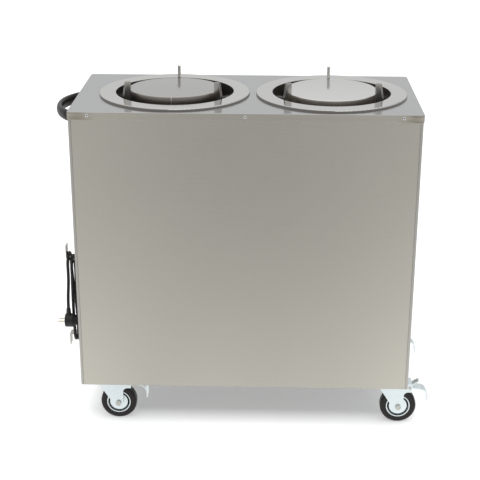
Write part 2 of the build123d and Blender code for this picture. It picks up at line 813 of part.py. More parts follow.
def plug_route():
    """Last run of the hank to the plug's boot."""
    x = hank_x[-1]
    high = top_z - hank_end_drop
    low = plug_z + plug_r + plug_boot
    return [(x, hank_front_y, high), (x, hank_front_y, high - 26), (x, plug_y, low + 26), (x, plug_y, low)]


def bend_radii(points):
    """Largest arc at each corner that leaves a tenth of the shorter run straight."""
    radii = []
    for a, b, c in zip(points, points[1:], points[2:]):
        one, two = Vector(b) - Vector(a), Vector(c) - Vector(b)
        half = math.radians(one.get_angle(two)) / 2
        radii.append(0.45 * min(one.length, two.length) / math.tan(half))
    return radii


def cord_tube(path):
    section = Plane(origin=path @ 0, z_dir=path % 0) * Circle(cord_r)
    tube = sweep(section, path=path)
    return tube, tube.volume / (math.pi * cord_r ** 2 * path.length)


def free_cord(name, points):
    radii = bend_radii(points)
    path = FilletPolyline(*points, radius=radii).wire()
    tube, share = cord_tube(path)
    print(f"{name}: length {path.length:.0f}, radii {[round(r) for r in radii]}, volume share {share:.4f}")
    return tube


def tangent_arc(start, tangent, end):
    return Edge.make_tangent_arc(start, tangent, end)


def biarc(p0, t0, p1, t1):
    """Two tangent arcs from p0 along t0 to p1 along t1, for parallel ends."""
    v = p1 - p0
    d = v.dot(v) / (2 * v.dot(t0 + t1))
    joint = (p0 + t0 * d + p1 - t1 * d) / 2
    middle = (p1 - t1 * d - p0 - t0 * d).normalized()
    return [tangent_arc(p0, t0, joint), tangent_arc(joint, middle, p1)]


def hank_path():
    """Loops round the two cleats, one layer a loop, stepping out on the rear runs."""
    down, up = Vector(0, 0, -1), Vector(0, 0, 1)
    back, front = Vector(0, 1, 0), Vector(0, -1, 0)
    at = Vector(hank_x[0], hank_front_y, top_z - hank_start_drop)
    edges = []
    for i in range(layers - 1):
        x, x_next, high = hank_x[i], hank_x[i + 1], top_bend_z[i + 1]
        low_front = Vector(x, hank_front_y, bottom_bend_z)
        low_mid = Vector(x, hank_mid_y, bottom_bend_z - hank_bend_r)
        low_back = Vector(x, hank_back_y, bottom_bend_z)
        high_back = Vector(x_next, hank_back_y, high)
        high_mid = Vector(x_next, hank_mid_y, high + hank_bend_r)
        high_front = Vector(x_next, hank_front_y, high)
        edges.append(Edge.make_line(at, low_front))
        edges.append(tangent_arc(low_front, down, low_mid))
        edges.append(tangent_arc(low_mid, back, low_back))
        edges.extend(biarc(low_back, up, high_back, up))
        edges.append(tangent_arc(high_back, up, high_mid))
        edges.append(tangent_arc(high_mid, front, high_front))
        at = high_front
    edges.append(Edge.make_line(at, Vector(at.X, at.Y, top_z - hank_end_drop)))
    return Wire(edges)


def hank_gap(path, step=6.0):
    """Least clear distance between parts of the tube that are not neighbours along it."""
    count = int(path.length / step)
    points = [path @ (i / count) for i in range(count + 1)]
    skip = int(4 * cord_d / step) + 1
    least = path.length
    for i, p in enumerate(points):
        for q in points[i + skip:]:
            least = min(least, (p - q).length)
    return least - cord_d


def cord_hank():
    path = hank_path()
    tube, share = cord_tube(path)
    print(f"cord_hank: length {path.length:.0f}, least gap {hank_gap(path):.2f}, volume share {share:.4f}")
    return tube


def plug_body():
    """Round angled mains plug: pin face outwards, cord leaving at the top."""
    c = plug_chamfer
    shell = turned([
        (0, 0), (plug_r - c, 0), (plug_r, c), (plug_r, plug_shoulder),
        (plug_r - 2 * c, plug_shoulder + 2 * c), (plug_back_r, plug_depth), (0, plug_depth),
    ])
    shell = outward(plug_face_x, plug_y, plug_z, 1) * shell
    boot = turned([
        (0, 0), (plug_boot_r, 0), (plug_boot_r, plug_r), (plug_boot_tip_r, plug_r + plug_boot),
        (0, plug_r + plug_boot),
    ])
    shell += Pos(hank_x[-1], plug_y, plug_z) * boot
    shell -= Pos(plug_face_x, plug_y, plug_z - plug_r) * Box(*plug_notch)
    for y in (-pin_pitch / 2, pin_pitch / 2):
        shell -= Pos(plug_face_x, plug_y + y, plug_z) * Rot(0, 90, 0) * Cylinder(pin_r, 2 * pin_root)
    return shell


def plug_pins():
    pin = turned([
        (0, pin_root), (pin_r, pin_root), (pin_r, -pin_length + 1), (pin_r - 1, -pin_length),
        (0, -pin_length),
    ])
    return [
        outward(plug_face_x, plug_y + y, plug_z, 1) * pin
        for y in (-pin_pitch / 2, pin_pitch / 2)
    ]


# ---------------------------------------------------------------- casters
def bolt_places():
    return [Vector(x, y) for x in (-bolt_x / 2, bolt_x / 2) for y in (-bolt_y / 2, bolt_y / 2)]


def caster_frames():
    return [Pos(x, y, 0) for x in caster_x.values() for y in caster_y.values()]


def bolt_holes():
    """Cutters through the tray and the rails for all the caster bolts."""
    cut = Cylinder(bolt_hole_r, 4 * tray_sheet)
    return [frame * Pos(at.X, at.Y, tray_top) * cut for frame in caster_frames() for at in bolt_places()]


def caster_plate():
    """Slotted top plate with the ball race and the kingpin that the fork turns on."""
    low = caster_height - plate_sheet
    plate = slab(RectangleRounded(plate_x, plate_y, plate_corner), low, plate_sheet)
    slot = extrude(SlotCenterToCenter(slot_play, 2 * bolt_hole_r), 2 * plate_sheet, both=True)
    for at in bolt_places():
        plate -= Pos(at.X, at.Y, low) * Rot(0, 0, math.degrees(math.atan2(at.Y, at.X))) * slot
    race_low = low - race_h
    pin_top = fork_low - side_play
    return plate + turned([
        (0, low), (race_r, low), (race_r, race_low + race_edge), (race_r - race_edge, race_low),
        (kingpin_r, race_low), (kingpin_r, pin_top), (kingpin_head_r, pin_top),
        (0.8 * kingpin_head_r, pin_top - kingpin_head_h), (0, pin_top - kingpin_head_h),
    ])


def caster_bolt():
    """Hex bolt up through plate, tray and rail, with its nut inside the rail."""
    low = caster_height - plate_sheet
    nut_top = rail_top + bolt_nut_h
    bolt = slab(RegularPolygon(bolt_head_r, 6), low - bolt_head_h, bolt_head_h)
    bolt += slab(Circle(bolt_r), low, nut_top + bolt_end - low)
    return bolt + slab(RegularPolygon(bolt_head_r, 6), rail_top, bolt_nut_h)


def caster_bolts():
    bolt = caster_bolt()
    return [frame * Pos(at.X, at.Y, 0) * bolt for frame in caster_frames() for at in bolt_places()]


def leg_face():
    """One fork leg in side view: tapered to the axle's eye, stepped for the pedal's arm."""
    front = Vector(-leg_front, fork_low)
    eye = Vector(trail, wheel_r)
    away = front - eye
    turn = math.degrees(math.acos(eye_r / away.length))
    touch_at = eye + away.rotate(Axis.Z, turn).normalized() * eye_r
    arm_low = fork_low - arm_depth
    back = trail + eye_r
    web = make_face(Polyline(
        (front.X, front.Y), (touch_at.X, touch_at.Y), (trail, wheel_r), (back, wheel_r), (back, arm_low),
        (arm_reach, arm_low), (arm_reach, fork_low), close=True))
    corner = web.vertices().sort_by_distance((back, arm_low))[0]
    web = fillet(corner, arm_fillet)
    return web + Pos(trail, wheel_r) * Circle(eye_r)


def caster_fork():
    """Pressed fork: round head with a turned-down rim, two legs, and arms for the pedal."""
    rim_low = fork_low - head_rim
    head = turned([
        (kingpin_r + run_fit, fork_low), (kingpin_r + run_fit, fork_top), (head_r - 1, fork_top),
        (head_r, fork_top - 1), (head_r, rim_low), (head_r - fork_sheet, rim_low),
        (head_r - fork_sheet, fork_low),
    ])
    arm_start = head_r - 2 * fork_sheet
    arm = Pos((arm_start + arm_reach) / 2, 0, fork_low) * Box(
        arm_reach - arm_start, 2 * leg_out, fork_sheet, align=(Align.CENTER, Align.CENTER, Align.MIN))
    leg = extrude(Plane.XZ * leg_face(), fork_sheet)
    fork = head + arm + Pos(0, leg_out, 0) * leg + Pos(0, -leg_gap, 0) * leg
    fork -= Pos(trail, 0, wheel_r) * Rot(90, 0, 0) * Cylinder(axle_r + touch, 4 * leg_out)
    return fork - pedal_axis() * Cylinder(pedal_pin_r + touch, 4 * leg_out)


def pedal_axis():
    return Pos(pedal_pivot_x, 0, pedal_pivot_z) * Rot(90, 0, 0)


def caster_axle():
    """Axle bolt with its nut, and the riveted pin of the brake pedal."""
    length = 2 * leg_out + axle_head_h + axle_end
    axle = Pos(0, 0, (axle_head_h + axle_end) / 2) * Cylinder(axle_r, length)
    hexagon = extrude(RegularPolygon(axle_head_r, 6), axle_head_h)
    axle += Pos(0, 0, leg_out) * hexagon + Pos(0, 0, -leg_out - axle_head_h) * hexagon
    pin = Cylinder(pedal_pin_r, 2 * leg_out)
    head = Cylinder(pedal_pin_head_r, pedal_pin_head_h)
    for side in (-1, 1):
        pin += Pos(0, 0, side * (leg_out + pedal_pin_head_h / 2)) * head
    return [Pos(trail, 0, wheel_r) * Rot(-90, 0, 0) * axle, pedal_axis() * pin]


def wheel_turned(half_points):
    """Wheel piece about the axle from its (radius, y) points on the +Y side, inner to outer."""
    points = half_points + [(r, -y) for r, y in reversed(half_points)]
    return Pos(trail, 0, wheel_r) * Rot(90, 0, 0) * turned(points)


def wheel_hub():
    """Moulded wheel centre: hub, stepped cover, groove and rim."""
    rim_y = wheel_width / 2 - rim_inset
    cover_y = wheel_width / 2 - cover_inset
    groove_y = wheel_width / 2 - groove_depth
    return wheel_turned([
        (axle_r + run_fit, leg_gap - side_play), (boss_r, leg_gap - side_play),
        (boss_r, wheel_width / 2 - 1), (cover_step_r, wheel_width / 2 - 1), (cover_step_r, cover_y),
        (cover_r, cover_y), (cover_r, groove_y),
        (rim_r - rim_wall, groove_y), (rim_r - rim_wall, rim_y), (rim_r, rim_y),
    ])


def tyre():
    bore = rim_r + touch
    side = wheel_width / 2
    shoulder = wheel_r - tread_depth
    bulge = tread_width / 2 + 0.72 * (side - tread_width / 2)
    edges = []
    for s in (1, -1):
        crown = (shoulder + 0.68 * tread_depth, s * bulge)
        edges.append(ThreePointArc((shoulder, s * side), crown, (wheel_r, s * tread_width / 2)))
        edges.append(Line((bore, s * (side - tyre_side_taper)), (shoulder, s * side)))
    edges.append(Line((wheel_r, -tread_width / 2), (wheel_r, tread_width / 2)))
    edges.append(Line((bore, tyre_side_taper - side), (bore, side - tyre_side_taper)))
    ring = revolve(Plane.XZ * make_face(edges), Axis.Z)
    return Pos(trail, 0, wheel_r) * Rot(90, 0, 0) * ring


def pedal_blade():
    """Sheet from the pivot, sloping back and then rolled down to the tip."""
    slope = math.radians(pedal_slope)
    normal = Vector(-math.sin(slope), -math.cos(slope))
    centre = Vector(pedal_reach - pedal_bend_r, 0)
    knee_x = centre.X - normal.X * pedal_bend_r
    knee_z = pedal_pivot_z - math.tan(slope) * (knee_x - pedal_pivot_x)
    centre = Vector(centre.X, knee_z + normal.Y * pedal_bend_r)
    half = (math.pi / 2 - slope) / 2

    def on_arc(radius, turn):
        return (centre.X + radius * math.cos(turn), centre.Y + radius * math.sin(turn))

    outer, inner = pedal_bend_r, pedal_bend_r - pedal_sheet
    top, under = on_arc(outer, 2 * half), on_arc(inner, 2 * half)
    root = (pedal_pivot_x, pedal_pivot_z)
    low_root = (root[0] + normal.X * pedal_sheet, root[1] + normal.Y * pedal_sheet)
    outline = [
        Line(root, top),
        ThreePointArc(top, on_arc(outer, half), on_arc(outer, 0)),
        Polyline(on_arc(outer, 0), (pedal_reach, pedal_tip_z), (pedal_reach - pedal_sheet, pedal_tip_z),
                 on_arc(inner, 0)),
        ThreePointArc(on_arc(inner, 0), on_arc(inner, half), under),
        Polyline(under, low_root, root),
    ]
    return extrude(Plane.XZ * make_face(outline), pedal_width / 2, both=True)


def brake_pedal():
    """Total-lock pedal: rolled blade, pivot barrel, release tab and the cam that meets the tyre."""
    pivot = Vector(pedal_pivot_x, pedal_pivot_z)
    aim = math.radians(pad_angle)
    pad = pivot + Vector(math.cos(aim), math.sin(aim)) * pad_arm
    side = Vector(-math.sin(aim), math.cos(aim))
    barrel = Pos(pivot.X, pivot.Y) * Circle(pedal_eye_r) + Pos(pad.X, pad.Y) * Circle(pad_r)
    corners = [pivot + side * pad_r, pad + side * pad_r, pad - side * pad_r, pivot - side * pad_r]
    barrel += make_face(Polyline(*[(c.X, c.Y) for c in corners], close=True))
    pedal = extrude(Plane.XZ * barrel, pedal_width / 2, both=True) + pedal_blade()
    rise = tab_top_z - pedal_pivot_z
    t = pedal_sheet
    pedal += profile_y([
        (tab_root_x, pedal_pivot_z), (tab_root_x + t, pedal_pivot_z), (tab_reach, tab_top_z),
        (tab_reach - t, tab_top_z), (tab_root_x, pedal_pivot_z + 0.2 * rise),
    ], tab_half)
    return pedal - pedal_axis() * Cylinder(pedal_pin_r + run_fit, 2 * pedal_width)


def caster_pieces():
    return {
        "caster_plate": [caster_plate()],
        "fork": [caster_fork()],
        "axle": caster_axle(),
        "wheel_hub": [wheel_hub()],
        "tyre": [tyre()],
        "brake_pedal": [brake_pedal()],
    }


# ---------------------------------------------------------------- whole trolley
save("base_tray", base_tray())
save("base_rails", *base_rails())
save("front_panel", long_panel(-1))
save("back_panel", long_panel(1))
save("left_end_panel", left_panel())
save("right_end_panel", end_panel(1))
save("top_panel", top_panel())
save("blind_rivets", *blind_rivets())
for well in well_x:
    save(f"{well}_well_tube", well_tube(well))
    save(f"{well}_heater", heater(well))
    save(f"{well}_plate_guides", *plate_guides(well))
    save(f"{well}_lift_springs", *lift_springs(well))
    save(f"{well}_platform_pan", platform_pan(well))
    save(f"{well}_carriage", carriage(well))
save("push_handle", push_handle())
save("handle_bolts", *handle_bolts())
save("control_plate", control_plate())
save("thermostat", thermostat())
save("thermostat_knob", thermostat_knob())
save("power_switch", power_switch())
save("switch_rocker", switch_rocker())
save("pilot_lamp", pilot_lamp())
save("cord_cleats", *cord_cleats())
save("cable_gland", cable_gland())
save("power_cord", free_cord("power_cord", lead_route()))
save("cord_hank", cord_hank())
save("plug_cord", free_cord("plug_cord", plug_route()))
save("plug_body", plug_body())
save("plug_pins", *plug_pins())
save("caster_bolts", *caster_bolts())
pieces = caster_pieces()
for end, x in caster_x.items():
    for row, y in caster_y.items():
        for name, solids in pieces.items():
            save(f"{row}_{end}_{name}", *[Pos(x, y, 0) * solid for solid in solids])
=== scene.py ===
import math

import bmesh
import bpy
from mathutils import Matrix, Vector


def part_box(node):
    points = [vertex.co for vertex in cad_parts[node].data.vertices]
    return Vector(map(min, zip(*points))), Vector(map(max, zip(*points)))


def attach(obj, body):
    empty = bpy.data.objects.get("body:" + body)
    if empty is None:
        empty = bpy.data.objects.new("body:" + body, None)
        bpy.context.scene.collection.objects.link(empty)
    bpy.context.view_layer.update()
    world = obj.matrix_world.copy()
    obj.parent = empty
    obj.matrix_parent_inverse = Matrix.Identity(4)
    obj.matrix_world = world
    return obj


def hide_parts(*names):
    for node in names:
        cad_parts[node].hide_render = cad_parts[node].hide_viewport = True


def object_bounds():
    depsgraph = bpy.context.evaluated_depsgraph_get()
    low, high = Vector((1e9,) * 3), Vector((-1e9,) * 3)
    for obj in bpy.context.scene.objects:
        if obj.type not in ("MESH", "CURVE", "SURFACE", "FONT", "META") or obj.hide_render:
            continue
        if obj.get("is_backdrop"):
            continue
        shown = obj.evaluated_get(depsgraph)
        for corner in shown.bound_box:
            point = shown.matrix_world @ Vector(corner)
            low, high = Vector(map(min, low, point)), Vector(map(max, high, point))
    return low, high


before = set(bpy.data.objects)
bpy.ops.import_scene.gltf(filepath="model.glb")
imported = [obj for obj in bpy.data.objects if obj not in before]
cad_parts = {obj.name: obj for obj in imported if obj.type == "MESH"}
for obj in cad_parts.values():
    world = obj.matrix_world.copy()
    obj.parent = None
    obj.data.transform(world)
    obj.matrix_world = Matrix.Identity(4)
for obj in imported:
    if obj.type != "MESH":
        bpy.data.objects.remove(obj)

cad_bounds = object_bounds()
MM = 0.001
X, Y, Z = range(3)
ENDS = ("left", "right")


def middle_of(node, axis):
    """The middle of a node's box along an axis."""
    low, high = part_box(node)
    return (low[axis] + high[axis]) / 2


# ---------------------------------------------------------------- camera
CAMERA_AT = (0.06265, -3.0270, 1.6348)
CAMERA_TILT = (69.103, 0.159, 1.517)      # degrees about X, the view's roll, and about Z
CAMERA_LENS = 86.53
CAMERA_SENSOR = 36.0


def add_camera():
    data = bpy.data.cameras.new("camera")
    data.lens = CAMERA_LENS
    data.sensor_width = CAMERA_SENSOR
    data.sensor_fit = "HORIZONTAL"
    camera = bpy.data.objects.new("camera", data)
    bpy.context.scene.collection.objects.link(camera)
    pitch, roll, yaw = (math.radians(angle) for angle in CAMERA_TILT)
    turn = Matrix.Rotation(yaw, 4, "Z") @ Matrix.Rotation(pitch, 4, "X") @ Matrix.Rotation(roll, 4, "Z")
    camera.matrix_world = Matrix.Translation(CAMERA_AT) @ turn
    bpy.context.scene.camera = camera


# ---------------------------------------------------------------- node trees by short calls
MIX_SHARE, MIX_FIRST, MIX_SECOND, MIX_RESULT = 0, 6, 7, 2       # a colour mix node's sockets
NOISE_LOW, NOISE_HIGH = 0.3, 0.7                                # where most of a noise lies
LEVEL_FROM, LEVEL_FULL = 0.4, 0.75                              # upward share of a face's normal
SHARP_FROM = 0.8                                                # normals' agreement at a sharp edge
BEVEL_SAMPLES = 4


class Graph:
    """A node tree whose nodes are added and linked by short calls."""

    def __init__(self, tree):
        self.tree = tree

    def add(self, kind, **values):
        node = self.tree.nodes.new(kind)
        for key, value in values.items():
            setattr(node, key, value)
        return node

    def fill(self, socket, value):
        """Links the socket to another node's output, or sets it to a plain value."""
        if isinstance(value, bpy.types.NodeSocket):
            self.tree.links.new(value, socket)
        elif socket.type == "RGBA":
            socket.default_value = (*value, 1.0)
        else:
            socket.default_value = value

    def feed(self, node, **inputs):
        """Fills sockets by name; an underscore in the name stands for a space."""
        for key, value in inputs.items():
            self.fill(node.inputs[key.replace("_", " ")], value)
        return node

    def calc(self, operation, a, b=0.0):
        node = self.add("ShaderNodeMath", operation=operation)
        self.fill(node.inputs[0], a)
        self.fill(node.inputs[1], b)
        return node.outputs[0]

    def plus(self, a, b):
        return self.calc("ADD", a, b)

    def times(self, a, b):
        return self.calc("MULTIPLY", a, b)

    def distance(self, x, y):
        """The length of (x, y)."""
        return self.calc("POWER", self.plus(self.times(x, x), self.times(y, y)), 0.5)

    def span(self, value, low, high, start=0.0, end=1.0, shape="LINEAR"):
        """Maps value from start..end to low..high."""
        node = self.add("ShaderNodeMapRange", interpolation_type=shape)
        self.feed(node, Value=value, From_Min=start, From_Max=end, To_Min=low, To_Max=high)
        return node.outputs["Result"]

    def spread(self, noise, low, high):
        """Maps most of a noise to low..high."""
        return self.span(noise, low, high, NOISE_LOW, NOISE_HIGH)

    def split(self, vector):
        """X, Y and Z of a vector."""
        node = self.add("ShaderNodeSeparateXYZ")
        self.fill(node.inputs[0], vector)
        return tuple(node.outputs)

    def mix(self, share, first, second, blend="MIX"):
        """A colour between two others."""
        node = self.add("ShaderNodeMix", data_type="RGBA", blend_type=blend)
        for number, value in ((MIX_SHARE, share), (MIX_FIRST, first), (MIX_SECOND, second)):
            self.fill(node.inputs[number], value)
        return node.outputs[MIX_RESULT]

    def either(self, share, first, second):
        """A shader between two others."""
        node = self.add("ShaderNodeMixShader")
        for number, value in enumerate((share, first, second)):
            self.fill(node.inputs[number], value)
        return node.outputs[0]

    def light(self, kind, color, strength):
        """An emission or a background shader."""
        return self.feed(self.add(kind), Color=color, Strength=strength).outputs[0]


class Shade(Graph):
    """A material, with its standard shader and the place on the object."""

    def __init__(self, name):
        self.material = bpy.data.materials.new(name)
        self.material.use_nodes = True
        super().__init__(self.material.node_tree)
        self.shader = self.tree.nodes["Principled BSDF"]
        self.place = self.add("ShaderNodeTexCoord").outputs["Object"]

    def look(self, **inputs):
        """Fills the standard shader's sockets by name."""
        self.feed(self.shader, **inputs)

    def overlay(self, share, color):
        """Lays a colour over the base colour so far."""
        below = self.shader.inputs["Base Color"].links[0].from_socket
        self.look(Base_Color=self.mix(share, below, color))

    def stretched(self, scale):
        """The place, with each axis scaled by itself."""
        mapping = self.add("ShaderNodeMapping")
        return self.feed(mapping, Vector=self.place, Scale=scale).outputs["Vector"]

    def noise(self, vector, scale=1.0, detail=2.0, roughness=0.5):
        node = self.add("ShaderNodeTexNoise")
        self.feed(node, Vector=vector, Scale=scale, Detail=detail, Roughness=roughness)
        return node.outputs["Fac"]

    def bump(self, height, strength, distance):
        node = self.add("ShaderNodeBump")
        self.feed(node, Height=height, Strength=strength, Distance=distance)
        self.look(Normal=node.outputs["Normal"])
        return node

    def normal(self):
        return self.add("ShaderNodeNewGeometry").outputs["Normal"]

    def rounded(self, radius):
        """The normal as it would be with rounded edges."""
        bevel = self.add("ShaderNodeBevel", samples=BEVEL_SAMPLES)
        return self.feed(bevel, Radius=radius).outputs["Normal"]

    def steep(self):
        """1 on upright faces, 0 on level ones."""
        level = self.calc("ABSOLUTE", self.split(self.normal())[Z])
        return self.span(level, 1.0, 0.0, LEVEL_FROM, LEVEL_FULL)

    def edge_wear_and_highlight(self, radius):
        """0 on faces, towards 1 on sharp edges, where wear and a painted highlight go."""
        product = self.add("ShaderNodeVectorMath", operation="DOT_PRODUCT")
        self.fill(product.inputs[0], self.rounded(radius))
        self.fill(product.inputs[1], self.normal())
        return self.span(product.outputs["Value"], 1.0, 0.0, SHARP_FROM, 1.0)


# ---------------------------------------------------------------- sheet steel
WELL_X = {end: middle_of(f"{end}_plate_guides", X) for end in ENDS}
WELL_DIVIDE = (WELL_X["left"] + WELL_X["right"]) / 2
EDGE_SOFTNESS = 1.4 * MM                                         # folded edges of the sheet
FINE_GRAIN, BROAD_GRAIN, ALONG_GRAIN = 1500.0, 260.0, 4.0        # noise cells per metre
RING_GRAIN = 1400.0
FINE_SHARE = 0.65
GRAIN_DEPTH = 0.2 * MM
GRAIN_GLOSS = 0.03                                               # roughness, up and down
END_PATCH_FROM, END_PATCH_FULL = 0.375, 0.425                            # out from the cart's middle
END_PATCH_GRAIN = (30.0, 30.0, 90.0)
END_PATCH_COLOR = (0.4, 0.36, 0.29)
WELD_HALF = 1 * MM
WELD_COLOR = (0.95, 0.93, 0.9)
SPRING_PITCH = 2.4 * MM
SPRING_DEPTH = 0.6 * MM
# Painted shade between a spring's turns.
SPRING_GAP_SHADE = (0.05, 0.05, 0.05)


def well_offset(shade):
    """X and Y from the nearer well's axis, and the distance from that axis."""
    x, y = shade.split(shade.place)[:2]
    on_right = shade.calc("GREATER_THAN", x, WELL_DIVIDE)
    x = shade.calc("SUBTRACT", x, shade.span(on_right, WELL_X["left"], WELL_X["right"]))
    return x, y, shade.distance(x, y)


def ring_lines(shade):
    """Fine concentric lines about each well's axis."""
    radius = well_offset(shade)[2]
    join = shade.feed(shade.add("ShaderNodeCombineXYZ"), X=shade.times(radius, RING_GRAIN))
    return shade.noise(join.outputs[0], 1.0, 3.0)


def grain_lines(shade, grain):
    """Brushing along one axis, or in rings about each well for grain='turned'."""
    if grain == "turned":
        return ring_lines(shade)
    lines = []
    for across, share in ((FINE_GRAIN, FINE_SHARE), (BROAD_GRAIN, 1 - FINE_SHARE)):
        scale = tuple(ALONG_GRAIN if axis == grain else across for axis in "XYZ")
        lines.append(shade.times(shade.noise(shade.stretched(scale)), share))
    return shade.plus(*lines)


def brushed_steel(name, color, roughness, grain="X", anisotropy=0.5, tangent="Z", rotation=0.0,
                  blotch=0.015, streaks=0.016, upright=None):
    """Satin sheet; upright is the (colour, roughness) of the piece's upright faces where they differ, and
    that colour is painted light and shade.
    """
    shade = Shade(name)
    lines = grain_lines(shade, grain)
    cloud = shade.noise(shade.place, 3.2, 3.0)
    smear = shade.noise(shade.place, 17.0, 5.0, 0.6)
    tone = shade.plus(shade.times(cloud, 0.7), shade.times(smear, 0.3))
    rough = shade.spread(lines, roughness - GRAIN_GLOSS, roughness + GRAIN_GLOSS)
    if upright:
        # Upright faces get their own colour: painted light and shade.
        side = shade.steep()
        color = shade.mix(side, color, upright[0])
        rough = shade.plus(rough, shade.times(side, upright[1] - roughness))
    grey = shade.times(shade.spread(tone, 1 - blotch, 1 + blotch),
                       shade.spread(lines, 1 - streaks, 1 + streaks))
    rough = shade.plus(rough, shade.spread(smear, -0.01, 0.02))
    brushing = shade.add("ShaderNodeTangent", direction_type="RADIAL", axis=tangent)
    shade.look(Base_Color=shade.mix(1.0, color, grey, "MULTIPLY"), Metallic=1.0, Roughness=rough,
               Anisotropic=anisotropy, Anisotropic_Rotation=rotation,
               Tangent=brushing.outputs["Tangent"])
    ridges = shade.bump(lines, 0.025, GRAIN_DEPTH)
    shade.feed(ridges, Normal=shade.rounded(EDGE_SOFTNESS))
    return shade


def add_end_patches(shade):
    """Brownish patches at both ends of the worktop's turned-down edge."""
    aside = shade.calc("ABSOLUTE", shade.split(shade.place)[X])
    rise = shade.span(aside, 0.0, 1.0, END_PATCH_FROM, END_PATCH_FULL)
    patch = shade.span(shade.noise(shade.stretched(END_PATCH_GRAIN), 1.0, 3.0), 0.3, 1.0, 0.35, 0.6)
    shade.overlay(shade.times(shade.times(rise, patch), shade.steep()), END_PATCH_COLOR)
    return shade


def pan_steel(name, color, roughness, skirt):
    """Turned disc whose skirt is duller, with a bright weld line down its front; the skirt's own colour
    is painted light and shade.
    """
    shade = brushed_steel(name, color, roughness, "turned", 0.3, blotch=0.02, streaks=0.015,
                          upright=(skirt, 0.3))
    x, y = well_offset(shade)[:2]
    line = shade.calc("LESS_THAN", shade.calc("ABSOLUTE", x), WELD_HALF)
    front = shade.calc("LESS_THAN", y, 0.0)
    shade.overlay(shade.times(shade.times(line, front), shade.steep()), WELD_COLOR)
    return shade


def coiled_wire(name, color):
    """Close-wound spring: dark lines between its turns, painted shade."""
    shade = brushed_steel(name, color, 0.22, "Z", 0.0)
    height = shade.split(shade.place)[Z]
    turns = shade.calc("SINE", shade.times(height, math.tau / SPRING_PITCH))
    # Painted shade between the turns.
    shade.overlay(shade.span(turns, 1.0, 0.0, -0.9, -0.2), SPRING_GAP_SHADE)
    shade.bump(turns, 0.6, SPRING_DEPTH)
    return shade


# ---------------------------------------------------------------- zinc, plastic and rubber
ZINC = (0.84, 0.925, 0.945)
# Brighter edges: bare zinc, and partly a painted highlight.
BARE_AND_LIT_EDGE = (0.95, 0.97, 0.98)
WORN_AND_LIT_EDGE = 0.6 * MM
FINE_PITS = 0.2 * MM                      # depths
RUBBER_PITS = 0.3 * MM
GROOVE_INNER, GROOVE_OUTER = 24.8 * MM, 30.2 * MM
GROOVE_DARK = (0.012, 0.02, 0.032)
RUBBER, DUSTY_RUBBER = (0.014, 0.011, 0.01), (0.032, 0.026, 0.022)


def zinc(name, color, roughness=0.3):
    """Bright zinc plate: mottled, slightly pitted and with brighter edges, partly wear and partly a
    painted highlight.
    """
    shade = Shade(name)
    spangle = shade.noise(shade.place, 120.0, 5.0, 0.6)
    mottle = shade.noise(shade.place, 26.0, 3.0)
    low = tuple(0.9 * c for c in color)
    high = tuple(min(1.04 * c, 0.98) for c in color)
    base = shade.mix(shade.span(spangle, 0.0, 1.0, 0.35, 0.65), low, color)
    base = shade.mix(shade.span(mottle, 0.0, 0.3, 0.4, 0.7), base, high)
    base = shade.mix(shade.times(shade.edge_wear_and_highlight(WORN_AND_LIT_EDGE), 0.5), base, BARE_AND_LIT_EDGE)
    rough = shade.spread(spangle, roughness - 0.06, roughness + 0.08)
    shade.look(Base_Color=base, Metallic=1.0, Roughness=rough)
    shade.bump(shade.noise(shade.place, 500.0, 3.0), 0.1, FINE_PITS)
    return shade


def wheel_centre(name, hub):
    """Zinc-plated wheel centre with a dark, dull colour in the groove inside its rim, about the axis of a
    hub.
    """
    shade = zinc(name, ZINC, 0.28)
    place = shade.split(shade.place)
    radius = shade.distance(shade.calc("SUBTRACT", place[X], middle_of(hub, X)),
                            shade.calc("SUBTRACT", place[Z], middle_of(hub, Z)))
    groove = shade.times(shade.calc("GREATER_THAN", radius, GROOVE_INNER),
                         shade.calc("LESS_THAN", radius, GROOVE_OUTER))
    shade.overlay(groove, GROOVE_DARK)
    shade.look(Metallic=shade.span(groove, 1.0, 0.0), Specular_IOR_Level=0.15)
    return shade


def moulded(name, color, roughness, grain=900.0, depth=0.1, coat=0.0):
    """Moulded plastic or rubber with a fine spark-eroded grain."""
    shade = Shade(name)
    patch = shade.noise(shade.place, 30.0, 4.0)
    pits = shade.noise(shade.place, grain, 3.0, 0.6)
    low = tuple(0.8 * c for c in color)
    high = tuple(1.25 * c + 0.004 for c in color)
    # Lighter edges: wear, and partly a painted highlight.
    worn_and_lit = tuple(min(1.8 * c + 0.02, 1.0) for c in color)
    base = shade.mix(shade.spread(patch, 0.0, 1.0), low, high)
    base = shade.mix(shade.times(shade.edge_wear_and_highlight(WORN_AND_LIT_EDGE), 0.6), base, worn_and_lit)
    rough = shade.spread(pits, roughness - 0.08, roughness + 0.08)
    shade.look(Base_Color=base, Roughness=rough, Coat_Weight=coat, Coat_Roughness=0.15)
    shade.bump(pits, depth, FINE_PITS)
    return shade


def tyre_rubber(name):
    """Dull black rubber, finely pitted, with a little dust."""
    shade = Shade(name)
    dust = shade.noise(shade.place, 60.0, 5.0, 0.65)
    base = shade.mix(shade.span(dust, 0.0, 1.0, 0.45, 0.75), RUBBER, DUSTY_RUBBER)
    shade.look(Base_Color=base, Roughness=shade.spread(dust, 0.45, 0.7))
    shade.bump(shade.noise(shade.place, 700.0, 3.0), 0.15, RUBBER_PITS)
    return shade


def lens(name, color):
    """Glossy coloured lens with a fine mottle."""
    shade = Shade(name)
    mottle = shade.noise(shade.place, 800.0, 1.0)
    base = shade.mix(shade.spread(mottle, 0.0, 1.0), tuple(0.7 * c for c in color), color)
    shade.look(Base_Color=base, Roughness=0.12, Coat_Weight=0.6)
    return shade
